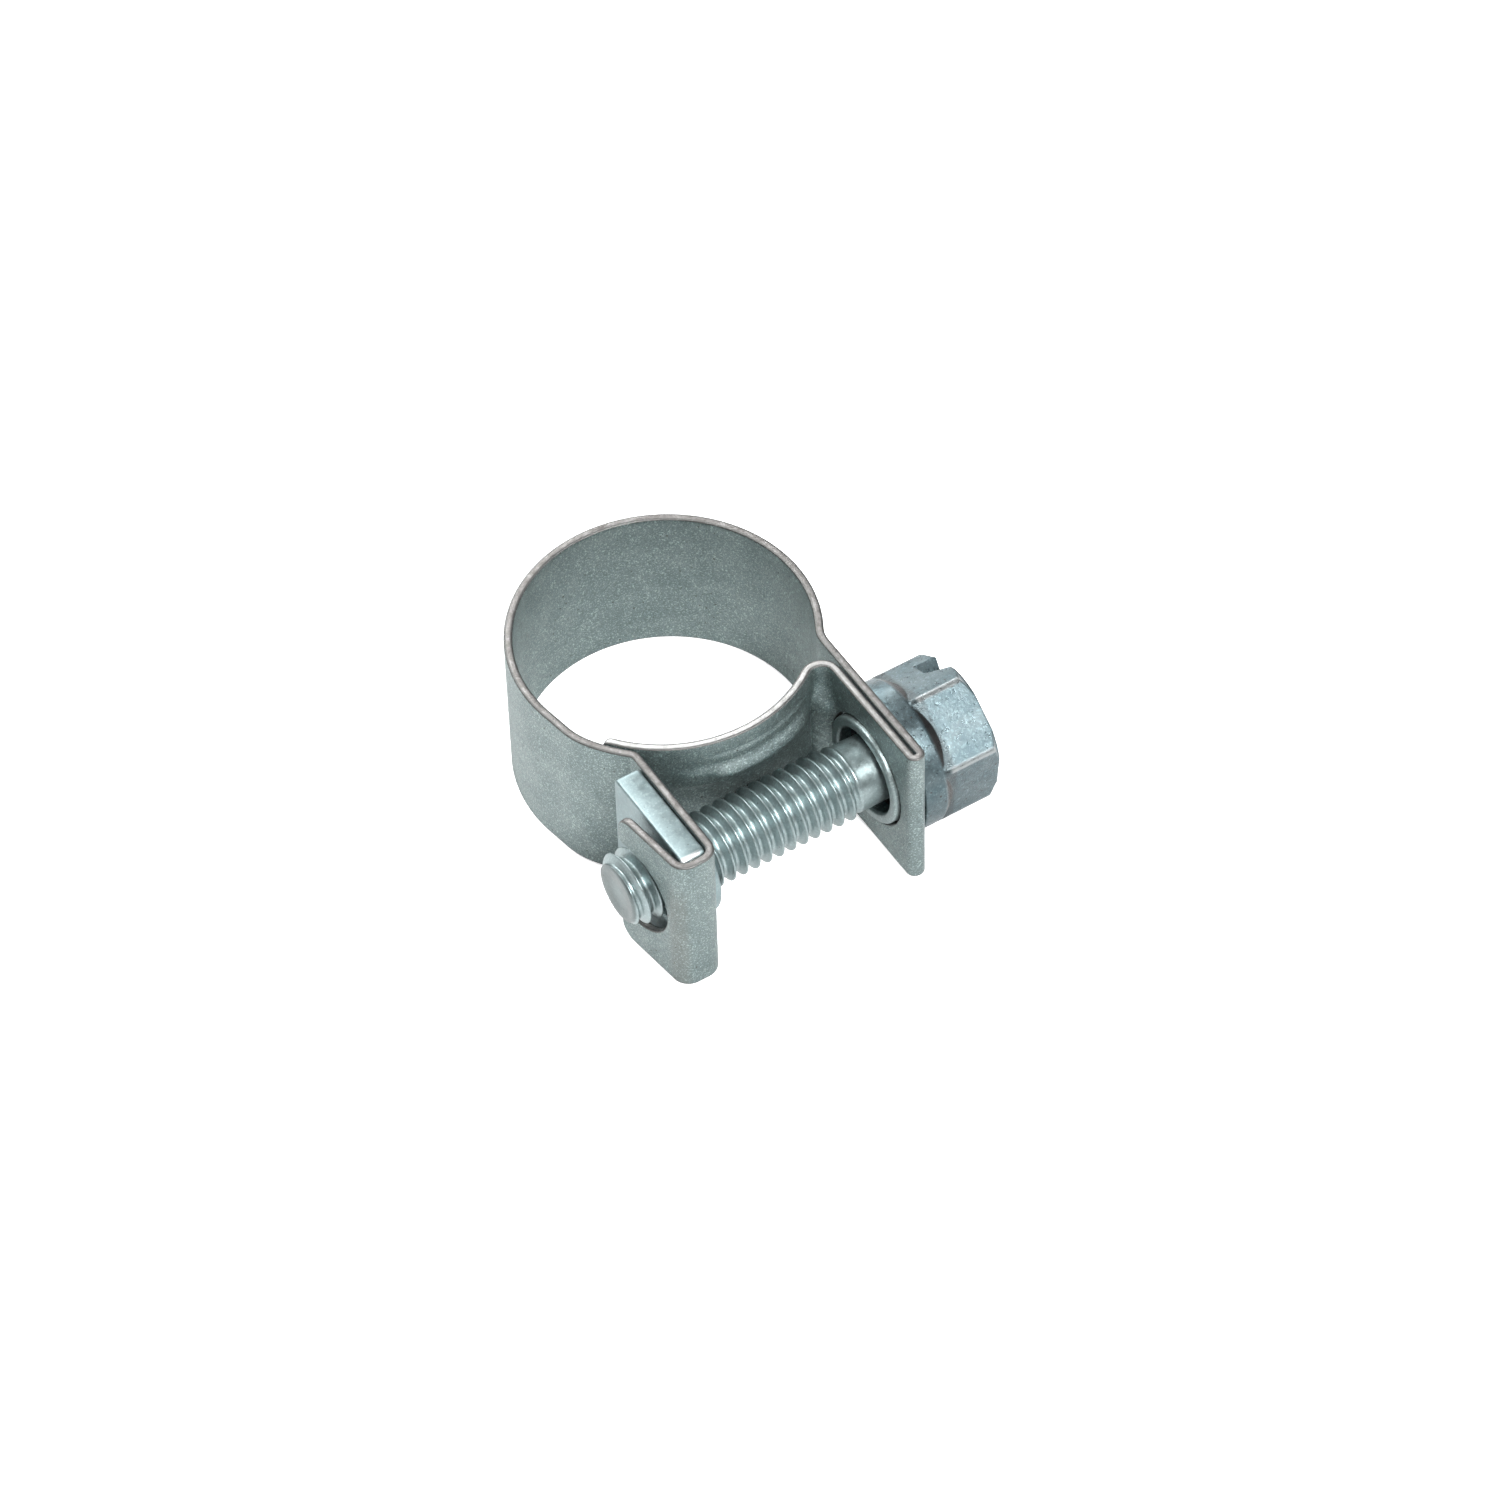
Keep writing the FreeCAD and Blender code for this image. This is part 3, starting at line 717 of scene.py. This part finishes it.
def make_head():
    """Collar, cone and hexagon."""
    seg = 288
    a = turn_angles(seg)
    hexr = hex_radius(a)
    collar = [  # x, radius, rounding; the last two only steer the rounding before them
        (COLLAR_X, 1.70, 0),
        (COLLAR_X, COLLAR_R, 0.16),
        (7.80, COLLAR_R, 0.14),
        (8.42, 3.42, 0),
        (8.42, 0.0, 0),
    ]
    rings = [ring(x, r, a) for x, r in fillet(collar)[:-2]]
    # the cone runs into the flats of the hexagon, and stays outside at its corners
    for x in np.arange(7.98, 8.60, 0.05):
        cone = COLLAR_R - (x - 7.83) * 0.78
        rings.append(ring(x, np.maximum(np.minimum(cone, 3.90), hexr), a))
    for x in np.linspace(8.7, 10.55, 6):
        rings.append(ring(x, hexr, a))
    # turned crown over the corners, and a soft edge round the face
    for x in np.linspace(10.62, HEAD_TOP - TOP_EDGE, 12):
        rings.append(ring(x, np.minimum(hexr, crown(HEAD_TOP - x)), a))
    edge_r = np.minimum(hexr, crown(TOP_EDGE))
    for q in np.radians((25, 50, 75, 90)):
        face_r = edge_r - TOP_EDGE * (1 - math.cos(q))
        rings.append(ring(HEAD_TOP - TOP_EDGE * (1 - math.sin(q)), face_r, a))
    for k in (0.9, 0.75, 0.5, 0.25):
        rings.append(ring(HEAD_TOP, face_r * k, a))
    n = len(rings)
    co = np.vstack(rings + [[[HEAD_TOP, AXIS_Y, 0.0], [COLLAR_X, AXIS_Y, 0.0]]])
    faces = ring_faces(n, seg)
    for k in range(seg):
        m = (k + 1) % seg
        faces.append(((n - 1) * seg + k, (n - 1) * seg + m, n * seg))
        faces.append((m, k, n * seg + 1))
    return make_mesh("screw_head", co * MM, faces)


def slot_cutter():
    """A bar with soft corners for the drive slot; one mouth of it is worn open."""
    ang = math.radians(57)
    half, deep, over = 0.475, 1.3, 0.5
    stations = [(-6.0, 0.0), (1.7, 0.0), (3.0, 0.50), (6.0, 0.95)]  # place along bar, wear
    co = []
    for along, worn in stations:
        section = [  # x, place across the bar, rounding
            (HEAD_TOP - deep, -half, 0.12),
            (HEAD_TOP - deep, half + 0.15 * worn, 0.12),
            (HEAD_TOP + over, half + worn * 1.5, 0),
            (HEAD_TOP + over, -half, 0),
        ]
        for x, w in fillet(section, 4):
            y = along * math.cos(ang) - w * math.sin(ang)
            z = along * math.sin(ang) + w * math.cos(ang)
            co.append((x, AXIS_Y + y, z))
    m = len(co) // len(stations)
    last = (len(stations) - 1) * m
    faces = [tuple(range(m))[::-1], tuple(range(last, last + m))]
    faces += ring_faces(len(stations), m)
    return make_mesh("slot_cutter", np.array(co) * MM, faces)


def cut_slot(head):
    cutter = slot_cutter()
    mod = head.modifiers.new("slot", "BOOLEAN")
    mod.operation = "DIFFERENCE"
    mod.solver = "EXACT"
    mod.object = cutter
    bpy.context.view_layer.update()
    dep = bpy.context.evaluated_depsgraph_get()
    cut_mesh = bpy.data.meshes.new_from_object(head.evaluated_get(dep))
    head.modifiers.clear()
    head.data = cut_mesh
    head.data.materials.clear()
    bpy.data.objects.remove(cutter)


tongue = make_tongue()
loop_piece = make_loop()
ear_piece = make_nut_ear()
eyelet = make_eyelet()
nut_plate = make_nut_plate()
nut_neck = make_nut_neck()
screw_shank = make_shank()
screw_head = make_head()
cut_slot(screw_head)


# =====================================================================
# hard lines and painted values
# =====================================================================
def sharpen(obj, angle):
    """Smooth shading with hard lines only where two faces meet at more than angle."""
    bm = bmesh.new()
    bm.from_mesh(obj.data)
    for e in bm.edges:
        if len(e.link_faces) == 2:
            e.smooth = e.calc_face_angle(0.0) < math.radians(angle)
    for f in bm.faces:
        f.smooth = True
    bm.to_mesh(obj.data)
    bm.free()


HARD_ANGLES = [
    (screw_head, 38), (nut_neck, 50), (eyelet, 60),
    (tongue, 60), (loop_piece, 60), (ear_piece, 60),
]
for obj, angle in HARD_ANGLES:
    sharpen(obj, angle)


def paint(obj, name, rule):
    """Store a value per point, worked out from its place in mm."""
    mesh = obj.data
    co = np.empty(len(mesh.vertices) * 3, np.float32)
    mesh.vertices.foreach_get("co", co)
    co = co.reshape(-1, 3) / MM
    att = mesh.attributes.new(name, "FLOAT", "POINT")
    att.data.foreach_set("value", rule(co[:, 0], co[:, 1], co[:, 2]).astype(np.float32))


def tongue_edge_highlight(x, y, z):
    """Painted highlight on the sheared edge, weaker towards the ear."""
    return 1 - 0.45 * ease(x, 3.6, 2.0)


def leaf_edge_highlight(x, y, z):
    """Half-strength painted highlight on the inner leaf's sheared edge only, weaker towards -y.
    """
    inner_leaf = (x > 5.2) & (x < 6.08) & (y < -6.0)
    return np.where(inner_leaf, 0.55 - 0.3 * ease(y, -6.6, -5), 0.0)


def head_painted_shade(x, y, z):
    """Painted shade on the cone, close round the hexagon's foot."""
    r, t = np.hypot(y - AXIS_Y, z), np.arctan2(z, y - AXIS_Y)
    return ease(x, 7.86, 0.16) * ease(x, 8.62, -0.1) * ease(r - hex_radius(t), -0.03, 0.07)


def head_ridge(x, y, z):
    """Worn lines down the hexagon's corners."""
    r, t = np.hypot(y - AXIS_Y, z), np.arctan2(z, y - AXIS_Y)
    off = math.pi / 6 - np.abs(hex_turn(t))
    near = ease(r - hex_radius(t), -0.16, 0.08)
    return 0.8 * near * ease(off, 0.055, -0.035) * ease(x, 8.2, 0.2)


def tip_painted_shade(x, y, z):
    """Painted shade darkening the shank's end face."""
    return 0.55 * ease(x, TIP_X + 0.13, -0.08)


def nut_ridge(x, y, z):
    """Bright scraped edge at the nut's end, towards -y and +z, its brightness partly a painted
    highlight of the bevel there.
    """
    return ease(y, -12.74, -0.12) * ease(z, 4.2, 0.12) * ease(x, -5.9, -0.1)


def fold_wear(x, y, z):
    """Rubbed, stained outer side of the nut ear's fold."""
    return ease(y, -12.35, -0.5) * ease(x, -6.9, -0.5) * ease(z, 3.4, -2.0)


PAINTED = [
    (tongue, "edge_highlight", tongue_edge_highlight),
    (loop_piece, "edge_highlight", leaf_edge_highlight),
    (screw_head, "painted_shade", head_painted_shade),
    (screw_head, "ridge", head_ridge),
    (screw_shank, "painted_shade", tip_painted_shade),
    (nut_plate, "ridge", nut_ridge),
    (ear_piece, "wear", fold_wear),
]
for obj, name, rule in PAINTED:
    paint(obj, name, rule)


# =====================================================================
# materials
# =====================================================================
def add_node(tree, kind, inputs=None, **settings):
    """A shader node; inputs maps a socket's name or number to a value or a source."""
    node = tree.nodes.new("ShaderNode" + kind)
    for key, value in settings.items():
        setattr(node, key, value)
    for key, value in (inputs or {}).items():
        if isinstance(value, bpy.types.NodeSocket):
            tree.links.new(value, node.inputs[key])
        else:
            node.inputs[key].default_value = value
    return node


def color_ramp(tree, source, stops):
    """Colour output of a ramp; stops are (position, (red, green, blue))."""
    node = add_node(tree, "ValToRGB", {0: source})
    els = node.color_ramp.elements
    while len(els) > 1:
        els.remove(els[-1])
    els[0].position = stops[0][0]
    els[0].color = (*stops[0][1], 1)
    for position, color in stops[1:]:
        els.new(position).color = (*color, 1)
    return node.outputs[0]


def grey(value):
    return (value, value, value)


class Shader:
    """Short ways to add nodes to one tree, with textures laid out in object mm."""

    def __init__(self, tree):
        tree.nodes.clear()
        self.tree = tree
        coords = self.add("TexCoord").outputs["Object"]
        self.mm = self.add("Mapping", {0: coords, "Scale": grey(1 / MM)}).outputs[0]

    def add(self, kind, inputs=None, **settings):
        return add_node(self.tree, kind, inputs, **settings)

    def noise(self, scale, detail, roughness, distortion=0.0):
        inputs = {
            "Scale": scale, "Detail": detail, "Roughness": roughness,
            "Distortion": distortion, "Vector": self.mm,
        }
        return self.add("TexNoise", inputs).outputs[0]

    def attribute(self, name, output="Fac"):
        return self.add("Attribute", attribute_name=name).outputs[output]

    def ramp(self, source, stops):
        return color_ramp(self.tree, source, stops)

    def mix(self, a, b, fac, mode="MIX"):
        if isinstance(b, tuple):
            b = (*b, 1)
        inputs = {0: fac, 6: a, 7: b}
        return self.add("Mix", inputs, data_type="RGBA", blend_type=mode).outputs[2]

    def times(self, source, factor):
        return self.add("Math", {0: source, 1: factor}, operation="MULTIPLY").outputs[0]

    def times_add(self, source, factor, addend):
        inputs = {0: source, 1: factor, 2: addend}
        return self.add("Math", inputs, operation="MULTIPLY_ADD").outputs[0]


# cut-edge colours over the streaks, dark to light, of the plain edge and of the edge with a
# painted highlight
EDGE_DULL = ((0.15, 0.142, 0.135), (0.26, 0.252, 0.245), (0.40, 0.40, 0.395))
EDGE_HIGHLIGHT = ((0.40, 0.40, 0.39), (0.56, 0.56, 0.55), (0.70, 0.70, 0.69))
STREAK_STOPS = (0.35, 0.55, 0.72)
SPECK_COLOR = (0.060, 0.056, 0.052)
STAIN_COLOR = (0.17, 0.150, 0.130)
EDGE_LINE_COLOR = (0.11, 0.10, 0.095)
# colour of the painted shade on the head's cone and on the shank's end face
PAINTED_SHADE_COLOR = (0.045, 0.042, 0.040)


def add_specks(sh, col, speck):
    """Dark specks and pits in clusters, and a stain where the wear value is high."""
    cells = sh.add("TexVoronoi", {"Scale": 2.3, "Randomness": 1.0, "Vector": sh.mm})
    bend = sh.noise(scale=5.0, detail=2, roughness=0.5)
    distance = sh.times_add(bend, 0.30, cells.outputs["Distance"])
    spots = sh.ramp(distance, [(0.22, grey(1)), (0.30, grey(0))])
    cluster = sh.noise(scale=0.9, detail=4, roughness=0.65)
    wear = sh.attribute("wear")
    gate = sh.ramp(sh.times_add(wear, 0.16, cluster), [(0.50, grey(0)), (0.56, grey(1))])
    spots = sh.mix(spots, gate, 1.0, "MULTIPLY")
    col = sh.mix(col, SPECK_COLOR, sh.times(spots, speck))
    return sh.mix(col, STAIN_COLOR, sh.times(wear, 0.28))


def add_cut_edges(sh, col):
    """Streaked cut edges, browner where plain and lighter where a highlight is painted, with a
    dark line along each side.
    """
    rim = sh.attribute("rim")
    streak = sh.noise(scale=1.6, detail=6, roughness=0.75, distortion=0.6)
    dull = sh.ramp(streak, list(zip(STREAK_STOPS, EDGE_DULL)))
    bright = sh.ramp(streak, list(zip(STREAK_STOPS, EDGE_HIGHLIGHT)))
    # the bright colours are a painted highlight on the cut edge
    edge_col = sh.mix(dull, bright, sh.attribute("edge_highlight"))
    line = sh.ramp(rim, [(0.10, grey(0)), (0.32, grey(0.8)), (0.5, grey(0.8))])
    col = sh.mix(col, EDGE_LINE_COLOR, line)
    return sh.mix(col, edge_col, sh.ramp(rim, [(0.50, grey(0)), (0.72, grey(1))]))


def add_painted_shade_and_ridges(sh, col, grain_col, ridge):
    """Painted shade where its stored value is high, and worn ridges of the colour ridge, on the
    nut partly a painted highlight.
    """
    # painted shade: darkens the colour where its stored value is high
    col = sh.mix(col, PAINTED_SHADE_COLOR, sh.attribute("painted_shade"))
    # ridge value: worn corners on the head; on the nut a scraped edge with a painted highlight
    worn = sh.mix(sh.attribute("ridge", "Color"), grain_col, 1.0, "MULTIPLY")
    return sh.mix(col, ridge, worn)


def zinc(
    name, *, dark, light, rough, grain, speck, bump, bevel, glint, cut_edges=False, ridge=None
):
    """Bright zinc plate: metal whose colour and gloss change in blotches and fine grain.

    dark, light: colours of the blotches; rough: least and most roughness; grain: scale
    of the fine noise; speck: strength of the dark specks; bump: of the relief; bevel:
    radius in mm of softened edges; glint: strength of the painted glints; ridge: colour
    of worn ridges, on the nut partly a painted highlight, which also brings in the painted shade."""
    mat = bpy.data.materials.new(name)
    mat.use_nodes = True
    sh = Shader(mat.node_tree)
    blotch = sh.noise(scale=0.55, detail=5, roughness=0.6, distortion=0.4)
    fine = sh.noise(scale=grain, detail=8, roughness=0.72)
    finer = sh.noise(scale=grain * 2.8, detail=3, roughness=0.6, distortion=0.5)

    middle = tuple((a + b) / 2 for a, b in zip(dark, light))
    base = sh.ramp(blotch, [(0.32, dark), (0.52, middle), (0.70, light)])
    grain_col = sh.ramp(fine, [(0.34, (0.80, 0.80, 0.79)), (0.5, grey(0.97)), (0.68, grey(1.12))])
    col = sh.mix(base, grain_col, 0.75, "MULTIPLY")
    # painted glints: bright specks, about a tenth of a millimetre long, where crystals catch the
    # light
    glint_stops = [
        (0.36, grey(1 - glint * 0.22)),
        (0.46, grey(1.0)),
        (0.56, grey(1.0)),
        (0.63, (1.0 + glint, 1.0 + glint, 1.0 + glint * 0.97)),
    ]
    col = sh.mix(col, sh.ramp(finer, glint_stops), 1.0, "MULTIPLY")
    col = add_specks(sh, col, speck)
    if cut_edges:
        col = add_cut_edges(sh, col)
    if ridge is not None:
        col = add_painted_shade_and_ridges(sh, col, grain_col, ridge)

    gloss = {
        0: fine, "From Min": 0.35, "From Max": 0.65, "To Min": rough[0], "To Max": rough[1],
    }
    roughness = sh.add("MapRange", gloss).outputs[0]
    normal = sh.add("Bevel", {"Radius": bevel * MM}, samples=4).outputs[0]
    # relief: source, strength, depth in metres
    for height, strength, depth in ((fine, bump, 0.00004), (finer, bump * 1.2, 0.000012)):
        relief = {"Strength": strength, "Distance": depth, "Height": height, "Normal": normal}
        normal = sh.add("Bump", relief).outputs[0]
    surface = {
        "Base Color": col, "Metallic": 0.85, "Roughness": roughness, "Normal": normal,
    }
    bsdf = sh.add("BsdfPrincipled", surface)
    sh.add("OutputMaterial", {0: bsdf.outputs[0]})
    return mat


SCREW_RIDGE = (0.38, 0.40, 0.40)
mat_band = zinc(
    "band_zinc",
    dark=(0.170, 0.216, 0.216), light=(0.224, 0.275, 0.272), rough=(0.32, 0.52),
    grain=4.2, speck=0.9, bump=0.8, bevel=0.04, glint=1.0, cut_edges=True,
)
mat_eyelet = zinc(
    "band_zinc_eyelet",
    dark=(0.235, 0.290, 0.290), light=(0.30, 0.36, 0.36), rough=(0.32, 0.48),
    grain=3.4, speck=0.6, bump=0.4, bevel=0.04, glint=0.5,
)
# the nut's ridge colour paints its scraped end edge, partly a painted highlight
mat_nut = zinc(
    "nut_zinc",
    dark=(0.235, 0.305, 0.315), light=(0.29, 0.366, 0.376), rough=(0.34, 0.50),
    grain=2.6, speck=0.6, bump=0.3, bevel=0.06, glint=0.2, ridge=grey(0.95),
)
mat_shank = zinc(
    "screw_zinc",
    dark=(0.265, 0.330, 0.334), light=(0.345, 0.415, 0.420), rough=(0.28, 0.42),
    grain=3.0, speck=0.6, bump=0.2, bevel=0.05, glint=0.25, ridge=SCREW_RIDGE,
)
mat_head = zinc(
    "screw_zinc_head",
    dark=(0.076, 0.112, 0.124), light=(0.136, 0.174, 0.184), rough=(0.24, 0.42),
    grain=2.4, speck=1.0, bump=0.7, bevel=0.06, glint=0.5, ridge=SCREW_RIDGE,
)

SLOTS = [
    (tongue, mat_band, "band"),
    (loop_piece, mat_band, "band"),
    (ear_piece, mat_band, "band"),
    (eyelet, mat_eyelet, "band"),
    (nut_plate, mat_nut, "nut"),
    (nut_neck, mat_nut, "nut"),
    (screw_shank, mat_shank, "screw"),
    (screw_head, mat_head, "screw"),
]
for obj, mat, slot in SLOTS:
    obj.data.materials.append(mat)

# ---------------------------------------------------------------- bodies
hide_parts("band_tongue")
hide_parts("band_head_side", "band_loop_left")
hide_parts("band_nut_ear")
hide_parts("nut")
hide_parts("screw")
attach(eyelet, "head_side")
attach(nut_plate, "nut")
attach(nut_neck, "nut")
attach(screw_shank, "screw")
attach(screw_head, "screw")
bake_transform(tongue)
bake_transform(loop_piece)
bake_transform(ear_piece)


# =====================================================================
# floor, light, camera
# =====================================================================
def make_floor():
    """Looks nearly white from the camera but throws less light on the metal."""
    bpy.ops.mesh.primitive_plane_add(size=2.0, location=(0, 0, -4.52 * MM))
    floor = bpy.context.active_object
    floor.name = "floor"
    mat = bpy.data.materials.new("floor_pale")
    mat.use_nodes = True
    tree = mat.node_tree
    bsdf = tree.nodes["Principled BSDF"]
    bsdf.inputs["Roughness"].default_value = 0.9
    bsdf.inputs["Emission Color"].default_value = (1.0, 1.0, 1.0, 1)
    seen = add_node(tree, "LightPath").outputs["Is Camera Ray"]
    # glow of 0.18, and 0.44 more where the camera sees it
    glow = add_node(tree, "Math", {0: seen, 1: 0.44, 2: 0.18}, operation="MULTIPLY_ADD")
    tree.links.new(glow.outputs[0], bsdf.inputs["Emission Strength"])
    tones = {0: seen, 6: (*grey(0.70), 1), 7: (*grey(0.93), 1)}
    tone = add_node(tree, "Mix", tones, data_type="RGBA")
    tree.links.new(tone.outputs[2], bsdf.inputs["Base Color"])
    floor.data.materials.append(mat)


def make_world():
    """Grey studio whose brightness changes with height."""
    world = bpy.data.worlds.new("studio")
    bpy.context.scene.world = world
    world.use_nodes = True
    tree = world.node_tree
    tree.nodes.clear()
    coords = add_node(tree, "TexCoord").outputs["Generated"]
    height = add_node(tree, "SeparateXYZ", {0: coords}).outputs["Z"]
    stops = [(0.0, (0.55, 0.56, 0.58))]
    for position, c in ((0.10, 0.26), (0.30, 0.32), (0.50, 0.50), (0.75, 0.62)):
        stops.append((position, (c, c * 1.01, c * 1.03)))
    stops.append((1.0, grey(0.64)))
    sky = add_node(tree, "Background", {0: color_ramp(tree, height, stops), 1: 0.54})
    add_node(tree, "OutputWorld", {0: sky.outputs[0]})


def area(name, *, loc, size, energy, target=(0, 0, 0), color=(1, 1, 1)):
    """Rectangular light; places and sizes in metres, energy in watts."""
    light = bpy.data.lights.new(name, "AREA")
    light.shape = "RECTANGLE"
    light.size, light.size_y = size
    light.energy = energy
    light.color = color
    obj = bpy.data.objects.new(name, light)
    bpy.context.scene.collection.objects.link(obj)
    obj.location = Vector(loc)
    obj.rotation_euler = (Vector(target) - Vector(loc)).to_track_quat("-Z", "Y").to_euler()


def make_camera():
    """Long lens looking down on the clamp from the side of the ears."""
    distance = 350.0
    elevation, azimuth, roll = math.radians(49.85), math.radians(-31.0), math.radians(-1.7)
    level = Vector((math.cos(azimuth), math.sin(azimuth), 0))
    back = Vector((
        math.sin(azimuth) * math.cos(elevation),
        -math.cos(azimuth) * math.cos(elevation),
        math.sin(elevation),
    ))
    upright = back.cross(level)
    right = level * math.cos(roll) + upright * math.sin(roll)
    up = -level * math.sin(roll) + upright * math.cos(roll)
    # framing: shifts in the picture's plane, then one in x and y
    loc = (4.2 * right - 2.704 * up + distance * back - Vector((0.22, 0.32, 0))) * MM
    data = bpy.data.cameras.new("camera")
    data.sensor_width = 36.0
    data.lens = 167.916
    data.clip_start, data.clip_end = 0.01, 10.0
    cam = bpy.data.objects.new("camera", data)
    bpy.context.scene.collection.objects.link(cam)
    rows = [(right[i], up[i], back[i], loc[i]) for i in range(3)]
    cam.matrix_world = Matrix(rows + [(0, 0, 0, 1)])
    bpy.context.scene.camera = cam


make_floor()
make_world()
area("key", loc=(-0.05, 0.10, 0.22), size=(0.14, 0.10), energy=0.42)
area("fill", loc=(0.16, -0.14, 0.12), size=(0.12, 0.12), energy=0.22, color=(0.96, 0.98, 1.0))
area("front", loc=(0.00, -0.17, 0.20), target=(0, -0.008, 0), size=(0.045, 0.045), energy=0.78)
area("back", loc=(0.02, 0.20, 0.10), size=(0.20, 0.06), energy=0.40)
make_camera()
bpy.context.scene.view_settings.view_transform = "Standard"
